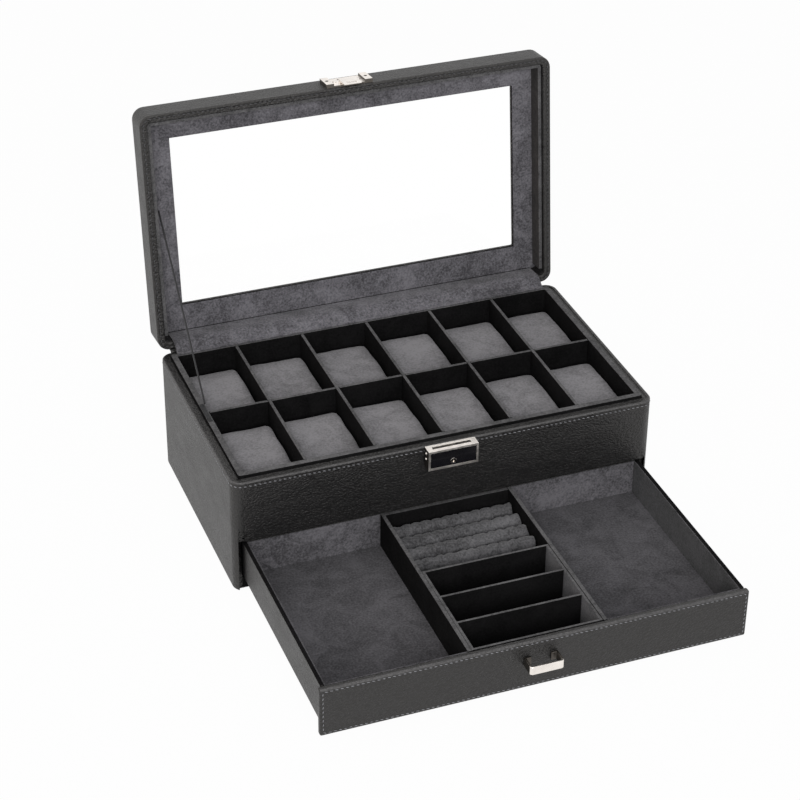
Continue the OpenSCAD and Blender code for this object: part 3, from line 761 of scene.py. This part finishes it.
class WATCHBOX_OT_tray(WatchBoxStep, bpy.types.Operator):
    """Liner, floor and slotted dividers of the watch tray"""

    bl_idname = "watchbox.tray"
    bl_label = "Watch tray"

    def execute(self, context):
        edge = context.scene.watchbox_finish.suede_edge
        lined_board("suede_liner", "tray_liner", "case", edge)
        lined_board("divider_board_long", "long_divider", "case", 0.5 * MM)
        lined_board("divider_boards_cross", "cross_dividers", "case", 0.5 * MM)
        dress_node("tray_floor_lining", "lining")
        return {"FINISHED"}


# ---- pillows ------------------------------------------------------------------------------------


def fit_to(bm, low, high):
    """Stretches a shape so that it just fills the box between two corners."""
    now_low = Vector([min(v.co[i] for v in bm.verts) for i in range(3)])
    now_high = Vector([max(v.co[i] for v in bm.verts) for i in range(3)])
    for v in bm.verts:
        for i in range(3):
            part = (v.co[i] - now_low[i]) / (now_high[i] - now_low[i])
            v.co[i] = low[i] + part * (high[i] - low[i])


def stuffed_pillow(node):
    """The node's pillow as suede blown up as cloth, centred on the origin."""
    low, high = corners(node)
    middle = (low + high) / 2
    bm = copy_of(node)
    bmesh.ops.translate(bm, vec=-middle, verts=bm.verts)
    bmesh.ops.scale(bm, vec=(0.97, 0.97, 0.96), verts=bm.verts)
    obj = to_object("pillow_form", bm, "pillow")
    remesh = obj.modifiers.new("voxels", "REMESH")
    remesh.mode = "VOXEL"
    remesh.voxel_size = 3.0 * MM
    bpy.context.view_layer.update()
    obj.data = bpy.data.meshes.new_from_object(obj.evaluated_get(bpy.context.evaluated_depsgraph_get()))
    obj.modifiers.clear()
    start = [v.co.copy() for v in obj.data.vertices]
    cloth = obj.modifiers.new("stuffing", "CLOTH").settings
    cloth.quality = 6
    cloth.mass = 0.3
    cloth.use_pressure = True
    cloth.uniform_pressure_force = 4.0
    cloth.effector_weights.gravity = 0.0
    scene = bpy.context.scene
    for number in range(STUFFING_FRAMES):
        scene.frame_set(number + 1)
    blown = bpy.data.meshes.new_from_object(obj.evaluated_get(bpy.context.evaluated_depsgraph_get()))
    obj.modifiers.clear()
    cap = 1.2 * MM
    for vertex, old in zip(blown.vertices, start):
        move = vertex.co - old
        if move.length > cap:
            vertex.co = old + move.normalized() * cap
    obj.data = blown
    scene.frame_set(1)
    bm = bmesh.new()
    bm.from_mesh(obj.data)
    bpy.data.objects.remove(obj)
    bmesh.ops.subdivide_edges(bm, edges=bm.edges, cuts=1, use_grid_fill=True)
    axes = {f"use_axis_{axis}": True for axis in "xyz"}
    for _ in range(3):
        bmesh.ops.smooth_vert(bm, verts=bm.verts, factor=0.5, **axes)
    fit_to(bm, low - middle, high - middle)
    half = (high - low) / 2
    for v in bm.verts:
        across, up = abs(v.co.y) / half.y, abs(v.co.z) / half.z
        round_now = (across**ROUND + up**ROUND) ** (1 / ROUND)
        square = (across**SQUARE + up**SQUARE) ** (1 / SQUARE)
        if square > WELD:
            v.co.y *= round_now / square
            v.co.z *= round_now / square
    fit_to(bm, -half, half)
    bm.normal_update()
    return bm


class WATCHBOX_OT_pillows(WatchBoxStep, bpy.types.Operator):
    """Twelve stuffed suede pillows"""

    bl_idname = "watchbox.pillows"
    bl_label = "Pillows"

    def execute(self, context):
        names = sorted(n for n in frame["nodes"] if n.startswith("pillow_"))
        widest = max(names, key=lambda n: corners(n)[1].x - corners(n)[0].x)
        form = stuffed_pillow(widest)
        chance = random.Random(12)
        dent_depth = 0.5 * MM
        settle = 2.4 * MM
        seam_width, seam_depth = 0.9 * MM, 0.55 * MM
        for node in names:
            low, high = corners(node)
            half = (high - low) / 2
            seam = half.x - 1.9 * MM
            bm = form.copy()
            mirrored = chance.random() < 0.5
            shift = Vector([chance.uniform(-40, 40) for _ in range(3)])
            fit_to(bm, -half, Vector((half.x, half.y, half.z - settle)))
            if mirrored:
                bmesh.ops.mirror(bm, geom=bm.verts[:] + bm.edges[:] + bm.faces[:], axis="X", merge_dist=-1)
                bmesh.ops.delete(bm, geom=bm.verts[: len(bm.verts) // 2], context="VERTS")
                bmesh.ops.recalc_face_normals(bm, faces=bm.faces)
            bm.normal_update()
            # Painted shade: 1 in the middle of the pillow, falling to 0 at its edges, where the suede is
            # drawn darker
            painted_light = bm.verts.layers.float.new("painted_light")
            for v in bm.verts:
                v[painted_light] = (1 - (v.co.x / half.x) ** 4) * (1 - (v.co.y / half.y) ** 4)
                wide = noise.noise(v.co / 0.019 + shift) + 0.35 * noise.noise(v.co / 0.006 + shift)
                pinch = math.exp(-(((abs(v.co.x) - seam) / seam_width) ** 2)) * seam_depth
                inward = Vector((0.0, v.normal.y, v.normal.z)) * pinch
                v.co -= v.normal * dent_depth * (0.9 + wide) + inward
            bmesh.ops.translate(bm, vec=(low + high) / 2, verts=bm.verts)
            obj = piece(f"suede_{node}", bm, "pillow", node, (node,), flat_shading=False)
            smooth = obj.modifiers.new("round", "SUBSURF")
            smooth.levels = smooth.render_levels = 1
        form.free()
        return {"FINISHED"}


# ---- lid ----------------------------------------------------------------------------------------


class WATCHBOX_OT_lid(WatchBoxStep, bpy.types.Operator):
    """Leather frame of the lid, its window, suede panel and linings"""

    bl_idname = "watchbox.lid"
    bl_label = "Lid"

    def execute(self, context):
        settings = context.scene.watchbox_finish
        low, high = LID_LOW, Vector((LID_HIGH.x, LID_HIGH.y, LID_TOP))
        frame_z = closed_corners("lid_top_frame")[0].z
        glass_low, glass_high = closed_corners("lid_glass")
        lap = 6.0 * MM
        wall = 6.2 * MM
        hollow = rounded_block(
            (low.x + wall, low.y + wall, low.z - REACH),
            (high.x - wall, high.y - wall, frame_z),
            settings.corner - wall,
        )
        window = block(
            (glass_low.x + lap, glass_low.y + lap, frame_z - REACH),
            (glass_high.x - lap, glass_high.y - lap, high.z + REACH),
        )
        bm = cut(rounded_block(low, high, settings.corner), hollow, window)
        soften(bm, settings.leather_edge * 0.85, 3)
        depth, from_edge, to = 0.5 * MM, 2.3 * MM, 4.6 * MM
        bm = groove(bm, low, high, settings.corner, from_edge, to, low.z - 2 * MM, low.z + depth)
        bmesh.ops.transform(bm, matrix=OPEN_LID, verts=bm.verts)
        piece("lid_leather", bm, "leather", "lid", ("lid_frame", "lid_top_frame"))

        inset = 2.6 * MM
        middle_y = (low.y + high.y) / 2
        path = round_outline(
            high.x - low.x - 2 * inset,
            high.y - low.y - 2 * inset,
            settings.corner - inset,
            low.z,
            (0.0, middle_y),
        )
        turn = OPEN_LID.to_3x3()
        toward_case = turn @ Vector((0, 0, -1))
        runs = [
            (OPEN_LID @ point, turn @ along, toward_case)
            for point, along in walk(path, settings.stitch_pitch)
        ]
        sew("lid_stitches", runs, "lid", "dark_thread")

        def faces_window(face):
            middle = face.calc_center_median()
            toward = Vector((-middle.x, middle_y - middle.y, 0.0))
            return abs(face.normal.z) < 0.1 and face.normal.dot(toward) > 0

        panel = copy_of("lid_panel")
        bmesh.ops.transform(panel, matrix=CLOSE_LID, verts=panel.verts)
        panel.normal_update()
        mark(panel, 1, faces_window)
        bmesh.ops.transform(panel, matrix=OPEN_LID, verts=panel.verts)
        soften(panel, 0.4 * MM, 2)
        board = piece("lid_suede_panel", panel, "suede", "lid", ("lid_panel",))
        board.data.materials.append(finish_of("lining"))
        lining = copy_of("lid_lining")
        lining.normal_update()
        # The faces that meet the case when closed take the pale edge colour as a painted highlight
        mark(lining, 1, lambda f: f.normal.dot(toward_case) > TURNED_TO)
        soften(lining, 0.5 * MM, 2)
        boards = piece("lid_suede_lining", lining, "dark_suede", "lid", ("lid_lining",))
        boards.data.materials.append(finish_of("edge"))
        dress_node("lid_glass", "glass")
        return {"FINISHED"}


# ---- hinge and stay -----------------------------------------------------------------------------


class WATCHBOX_OT_hinge(WatchBoxStep, bpy.types.Operator):
    """Suede hinge cover, leather spine and the lid stay"""

    bl_idname = "watchbox.hinge"
    bl_label = "Hinge cover and stay"

    def execute(self, context):
        for node, name, finish, slot, bend_from, bend_to in (
            ("hinge_cover", "suede_hinge_cover", "suede", "suede", (-7.0, 4.0), (3.0, 8.0)),
            ("leather_spine", "spine_leather", "leather", "leather", (-0.4, -1.0), (1.2, 0.6)),
            ("stay_strap", "stay_tape", "tape", "strap", None, None),
        ):
            bm = copy_of(node)
            low, high = corners(node)
            span = high - low
            if node == "stay_strap":
                for k in range(1, STAY_CUTS):
                    slice_at(bm, low + span * k / STAY_CUTS, Vector((0, 1, 1)).normalized())
            else:
                for k in range(1, SHEET_CUTS):
                    slice_at(bm, (low.x + span.x * k / SHEET_CUTS, 0, 0), (1, 0, 0))
            if node == "hinge_cover":
                crease = high.y - 1.3 * MM
                for at in (crease, low.y + span.y * 0.3, low.y + span.y * 0.65):
                    slice_at(bm, (0, at, 0), (0, 1, 0))
                # Painted shadow: the strip above the crease takes the dark lining, for the shadow line
                # where the cover meets the panel
                mark(bm, 1, lambda f: f.calc_center_median().y > crease)
                for v in bm.verts:
                    part = (v.co.y - low.y) / span.y
                    wide = noise.noise(Vector((v.co.x / 0.02, 0, 0)))
                    pucker = wide + noise.noise(Vector((v.co.x / 0.008, 7, 0)))
                    v.co.z += max(0.0, math.sin(math.pi * part)) * abs(pucker) * 0.4 * MM
            obj = piece(name, bm, finish, None, (node,), flat_shading=False)
            if node == "hinge_cover":
                obj.data.materials.append(finish_of("lining"))
            sharp = obj.modifiers.new("edge", "BEVEL")
            sharp.width = 0.2 * MM
            sharp.segments = 2
            sharp.limit_method = "ANGLE"
            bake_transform(obj)
        for node, body, name in (
            ("stay_tab_case", "case", "stay_tab_lower"),
            ("stay_tab_lid", "lid", "stay_tab_upper"),
        ):
            piece(name, soften(copy_of(node), 0.15 * MM, 2), "tape", body, (node,))
        return {"FINISHED"}


# ---- lock and hasp ------------------------------------------------------------------------------


class WATCHBOX_OT_lock(WatchBoxStep, bpy.types.Operator):
    """Lock on the case, hasp on the lid"""

    bl_idname = "watchbox.lock"
    bl_label = "Lock and hasp"

    def execute(self, context):
        edge = context.scene.watchbox_finish.metal_edge
        front = OPEN_LID.to_3x3() @ Vector((0, -1, 0))
        # Painted shade: side faces of the housing, and of the hasp round its holes and slot, take the dark
        # nickel
        painted_shade_where = {
            "lock_housing": lambda f: abs(f.normal.x) > TURNED_TO,
            "hasp_plate": lambda f: abs(f.normal.dot(front)) < 0.5,
        }
        for node, name, finish, body, slot in (
            ("lock_housing", "lock_case", "satin", "case", "bright_metal"),
            ("lock_rivets", "lock_case_rivets", "metal", "case", "bright_metal"),
            ("lock_screw", "lock_case_screw", "metal", "case", "bright_metal"),
            ("lock_button", "push_plate_enamel", "enamel", "push_plate", "black_gloss"),
            ("lock_catch", "catch_steel", "metal", "push_plate", "bright_metal"),
            ("key_cylinder", "key_barrel", "metal", "key_cylinder", "bright_metal"),
            ("hasp_plate", "hasp_bright_plate", "satin", "lid", "bright_metal"),
            ("hasp_striker", "hasp_tongue", "metal", "lid", "bright_metal"),
            ("hasp_screws", "hasp_plate_screws", "metal", "lid", "bright_metal"),
        ):
            radius = 3.0 * edge if node == "lock_housing" else edge
            bm = copy_of(node)
            bm.normal_update()
            if node in painted_shade_where:
                mark(bm, 1, painted_shade_where[node])
            made = piece(name, soften(bm, radius, 3), finish, body, (node,))
            if node in painted_shade_where:
                made.data.materials.append(finish_of("shaded_nickel"))
        coil = copy_of("lock_spring")
        spring = piece("catch_spring", coil, "steel", None, ("lock_spring",), False)
        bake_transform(spring)
        return {"FINISHED"}


# ---- drawer -------------------------------------------------------------------------------------


class WATCHBOX_OT_drawer(WatchBoxStep, bpy.types.Operator):
    """Drawer front, sides, suede trays and pull"""

    bl_idname = "watchbox.drawer"
    bl_label = "Drawer"

    def execute(self, context):
        settings = context.scene.watchbox_finish
        low, high = corners("drawer_front")
        bm = block(low, high)
        top = [
            e
            for e in bm.edges
            if all(v.co.z > high.z - TINY and v.co.y < low.y + TINY for v in e.verts)
        ]
        # The rounded top front edge takes slot 1, the pale leather that paints a highlight along it
        soften(bm, settings.leather_edge, 3, top, painted_light=1)
        soften(bm, settings.leather_edge, 3)
        panel = piece("drawer_front_leather", bm, "leather", "drawer", ("drawer_front",))
        panel.data.materials.append(finish_of("leather_edge"))
        inset = 2.3 * MM
        width = high.x - low.x - 2 * inset
        height = high.z - low.z - 2 * inset
        path = round_outline(width, height, 1.5 * MM, 0.0, segments=2)
        middle = Vector((0, low.y, (low.z + high.z) / 2))
        runs = [
            (middle + Vector((p.x, 0, p.y)), Vector((d.x, 0, d.y)), Vector((0, -1, 0)))
            for p, d in walk(path, settings.stitch_pitch)
        ]
        sew("drawer_stitches", runs, "drawer")
        for node, name in (
            ("drawer_left_side", "drawer_side_left"),
            ("drawer_right_side", "drawer_side_right"),
            ("drawer_back", "drawer_back_board"),
        ):
            bm = copy_of(node)
            bm.normal_update()
            mark(bm, 1, lambda f: f.normal.z > TURNED_TO)
            board = piece(name, soften(bm, 0.5 * MM, 2), "leather", "drawer", (node,))
            board.data.materials.append(finish_of("lining"))
        dress_node("drawer_bottom", "leather")
        for side in ("left", "right"):
            node = f"drawer_suede_{side}"
            bm = copy_of(node)
            bm.normal_update()
            # Painted light: faces across X take the darker copy of the drawer suede, faces across Y the
            # paler one
            mark(bm, 2, lambda f: abs(f.normal.x) > TURNED_TO)
            mark(bm, 1, lambda f: abs(f.normal.y) > TURNED_TO)
            soften(bm, 0.35 * MM, 2)
            tray = piece(f"suede_tray_{side}", bm, "drawer_suede", "drawer", (node,))
            tray.data.materials.append(finish_of("drawer_back"))
            tray.data.materials.append(finish_of("drawer_side"))
        bm = copy_of("drawer_pull")
        bm.normal_update()
        behind = corners("drawer_pull")[0].y + 2.6 * MM
        slice_at(bm, (0, behind, 0), (0, 1, 0))
        # Painted shade: the legs behind take the dark nickel, in place of the dark reflections on them
        mark(bm, 1, lambda f: f.calc_center_median().y > behind)
        soften(bm, 0.45 * MM, 3)
        bow = piece("pull_bow", bm, "metal", "drawer", ("drawer_pull",))
        bow.data.materials.append(finish_of("shaded_nickel"))
        dress_node("pull_screws", "steel")
        return {"FINISHED"}


class WATCHBOX_OT_organiser(WatchBoxStep, bpy.types.Operator):
    """Walls, ring pad and slots in the middle of the drawer"""

    bl_idname = "watchbox.organiser"
    bl_label = "Organiser"

    def execute(self, context):
        for side in ("left", "right", "back"):
            node = f"organiser_{side}_wall"
            lined_board(f"organiser_board_{side}", node, "drawer", 0.4 * MM)
        lined_board("slot_box", "slot_insert", "drawer", 0.4 * MM, "drawer_suede")
        low, high = corners("ring_pad")
        count = 5
        pitch = (high.y - low.y) / count
        radius = pitch / 2
        room = Vector((0.4 * MM, 0.6 * MM, 0))
        bm = block(low + room, high - room - Vector((0, 0, radius * 1.25)))
        for k in range(count):
            middle = Vector(((low.x + high.x) / 2, low.y + (k + 0.5) * pitch, high.z - radius))
            turn = Matrix.Rotation(math.pi / 2, 4, "Y")
            made = bmesh.ops.create_cone(
                bm,
                cap_ends=True,
                segments=28,
                radius1=radius * 0.98,
                radius2=radius * 0.98,
                depth=high.x - low.x - 0.6 * MM,
                matrix=Matrix.Translation(middle) @ turn,
            )
            ring = set(made["verts"])
            own = [e for e in bm.edges if e.verts[0] in ring and e.verts[1] in ring]
            along = [e for e in own if abs((e.verts[0].co - e.verts[1].co).x) > 50 * MM]
            bmesh.ops.subdivide_edges(bm, edges=along, cuts=64)
            own = [e for e in bm.edges if e.verts[0] in ring and e.verts[1] in ring]
            rims = [e for e in own if len(e.link_faces) == 2 and e.calc_face_angle(0) > 1.2]
            bmesh.ops.bevel(
                bm,
                geom=rims,
                offset=2.2 * MM,
                affect="EDGES",
                segments=3,
                profile=0.5,
                clamp_overlap=True,
                material=-1,
            )
        bm.normal_update()
        gather = 8.2 * MM
        for v in bm.verts:
            if v.co.z > high.z - radius * 1.2:
                roll = (v.co.y - low.y) / pitch
                row = math.floor(roll)
                from_crest = abs(roll - row - 0.5) * 2
                phase = v.co.x / gather + 0.5 * (row % 2) + 0.7 * noise.noise(v.co / 0.014)
                pucker = (0.5 + 0.5 * math.cos(2 * math.pi * phase)) ** 3
                dent = noise.noise(v.co / 0.007) * 0.45 * MM
                v.co -= v.normal * (pucker * (0.35 + 1.0 * from_crest) * 1.1 * MM + abs(dent) + 0.1 * MM)
        pad = piece("ring_rolls", bm, "rolls", "drawer", ("ring_pad",), flat_shading=False)
        return {"FINISHED"}


# ---- stage --------------------------------------------------------------------------------------


def lamp(name, place, target, size, power, colour=(1.0, 1.0, 1.0)):
    light = bpy.data.lights.new(name, "AREA")
    light.shape = "RECTANGLE"
    light.size, light.size_y = size
    light.energy = power
    light.color = colour
    obj = bpy.data.objects.new(name, light)
    bpy.context.scene.collection.objects.link(obj)
    obj.location = place
    obj.rotation_euler = (Vector(target) - Vector(place)).to_track_quat("-Z", "Y").to_euler()


def stage_paint(name, colour, share):
    """Pale surface that camera, mirror and glass rays see as white, with the shadow kept."""
    paint = Paint(name)
    grain = paint.cloud(paint.place(), 40.0, 2.0)
    base = paint.mix(grain, rgb(colour, 0.99), rgb(colour, 1.0))
    plain = paint.node("ShaderNodeBsdfDiffuse", None, {"Color": base})
    glow = paint.node("ShaderNodeEmission", None, {"Color": (1.0, 1.0, 1.0, 1.0), "Strength": 1.0})
    seen, mirrored, through = paint.rays("Camera", "Glossy", "Transmission")
    white = paint.clamp(seen * share + mirrored + through)
    return paint.finish(paint.node("ShaderNodeMixShader", None, {0: white, 1: plain, 2: glow}))


class WATCHBOX_OT_stage(WatchBoxStep, bpy.types.Operator):
    """Floor, light and camera"""

    bl_idname = "watchbox.stage"
    bl_label = "Stage"

    def execute(self, context):
        scene = context.scene
        bm = bmesh.new()
        bmesh.ops.create_grid(bm, x_segments=2, y_segments=2, size=6.0)
        mesh = bpy.data.meshes.new("floor")
        bm.to_mesh(mesh)
        bm.free()
        mesh.materials.append(stage_paint("pale_floor", (0.8, 0.8, 0.8), 0.97))
        floor = bpy.data.objects.new("floor", mesh)
        floor.location.z = -0.0002
        scene.collection.objects.link(floor)

        scene.world = bpy.data.worlds.new("studio")
        studio = Paint(owner=scene.world)
        seen, through, mirrored = studio.rays("Camera", "Transmission", "Glossy")
        clean = studio.node("ShaderNodeMath", {"operation": "MAXIMUM"}, {0: seen, 1: through})
        clean = studio.node("ShaderNodeMath", {"operation": "MAXIMUM"}, {0: clean, 1: mirrored})
        dim = {"Color": (0.97, 0.98, 1.0, 1.0), "Strength": 0.3}
        white = {"Color": (1.0, 1.0, 1.0, 1.0), "Strength": 1.0}
        dim, white = (studio.node("ShaderNodeBackground", None, sky) for sky in (dim, white))
        sky = studio.node("ShaderNodeMixShader", None, {0: clean, 1: dim, 2: white})
        studio.node("ShaderNodeOutputWorld", None, {"Surface": sky})

        lamp("left_window", (-1.9, 0.5, 0.8), (0.0, 0.0, 0.1), (1.6, 1.4), 5.5, (1.0, 0.86, 0.72))
        lamp("top_softbox", (-0.2, 0.15, 1.9), (0.0, -0.05, 0.05), (1.5, 1.3), 9.0)
        lamp("front_softbox", (-0.5, -2.4, 1.3), (0.0, -0.05, 0.1), (1.8, 1.2), 40.0)

        azimuth, elevation, roll = (math.radians(a) for a in CAMERA_ANGLES)
        right = Vector((math.cos(azimuth), math.sin(azimuth), 0))
        level = math.cos(elevation)
        back = Vector((math.sin(azimuth) * level, -math.cos(azimuth) * level, math.sin(elevation)))
        up = back.cross(right)
        x_axis = math.cos(roll) * right + math.sin(roll) * up
        y_axis = -math.sin(roll) * right + math.cos(roll) * up
        camera = bpy.data.cameras.new("camera")
        camera.lens = CAMERA_LENS
        camera.sensor_width = 36.0
        camera.clip_start = 0.05
        holder = bpy.data.objects.new("camera", camera)
        place = Matrix((x_axis, y_axis, back)).transposed().to_4x4()
        place.translation = CAMERA_AT
        holder.matrix_world = place
        scene.collection.objects.link(holder)
        scene.camera = holder
        scene.view_settings.view_transform = "Standard"
        return {"FINISHED"}


STEPS = (
    WATCHBOX_OT_case,
    WATCHBOX_OT_tray,
    WATCHBOX_OT_pillows,
    WATCHBOX_OT_lid,
    WATCHBOX_OT_hinge,
    WATCHBOX_OT_lock,
    WATCHBOX_OT_drawer,
    WATCHBOX_OT_organiser,
    WATCHBOX_OT_stage,
)


class WATCHBOX_PT_panel(bpy.types.Panel):
    """Lists the steps and settings"""

    bl_idname = "WATCHBOX_PT_panel"
    bl_label = "Watch Box"
    bl_space_type = "VIEW_3D"
    bl_region_type = "UI"
    bl_category = "Watch Box"

    def draw(self, context):
        for settings in (context.scene.watchbox_finish, context.scene.watchbox_colours):
            for name in settings.bl_rna.properties.keys():
                if name not in ("rna_type", "name"):
                    self.layout.prop(settings, name)
        for step in STEPS:
            self.layout.operator(step.bl_idname)


CLASSES = (WatchBoxFinish, WatchBoxColours, *STEPS, WATCHBOX_PT_panel)


def register():
    for cls in CLASSES:
        bpy.utils.register_class(cls)
    bpy.types.Scene.watchbox_finish = bpy.props.PointerProperty(type=WatchBoxFinish)
    bpy.types.Scene.watchbox_colours = bpy.props.PointerProperty(type=WatchBoxColours)


def unregister():
    del bpy.types.Scene.watchbox_colours
    del bpy.types.Scene.watchbox_finish
    for cls in reversed(CLASSES):
        bpy.utils.unregister_class(cls)


def main():
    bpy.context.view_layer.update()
    register()
    for step in STEPS:
        group, name = step.bl_idname.split(".")
        getattr(getattr(bpy.ops, group), name)()


if __name__ == "__main__":
    main()
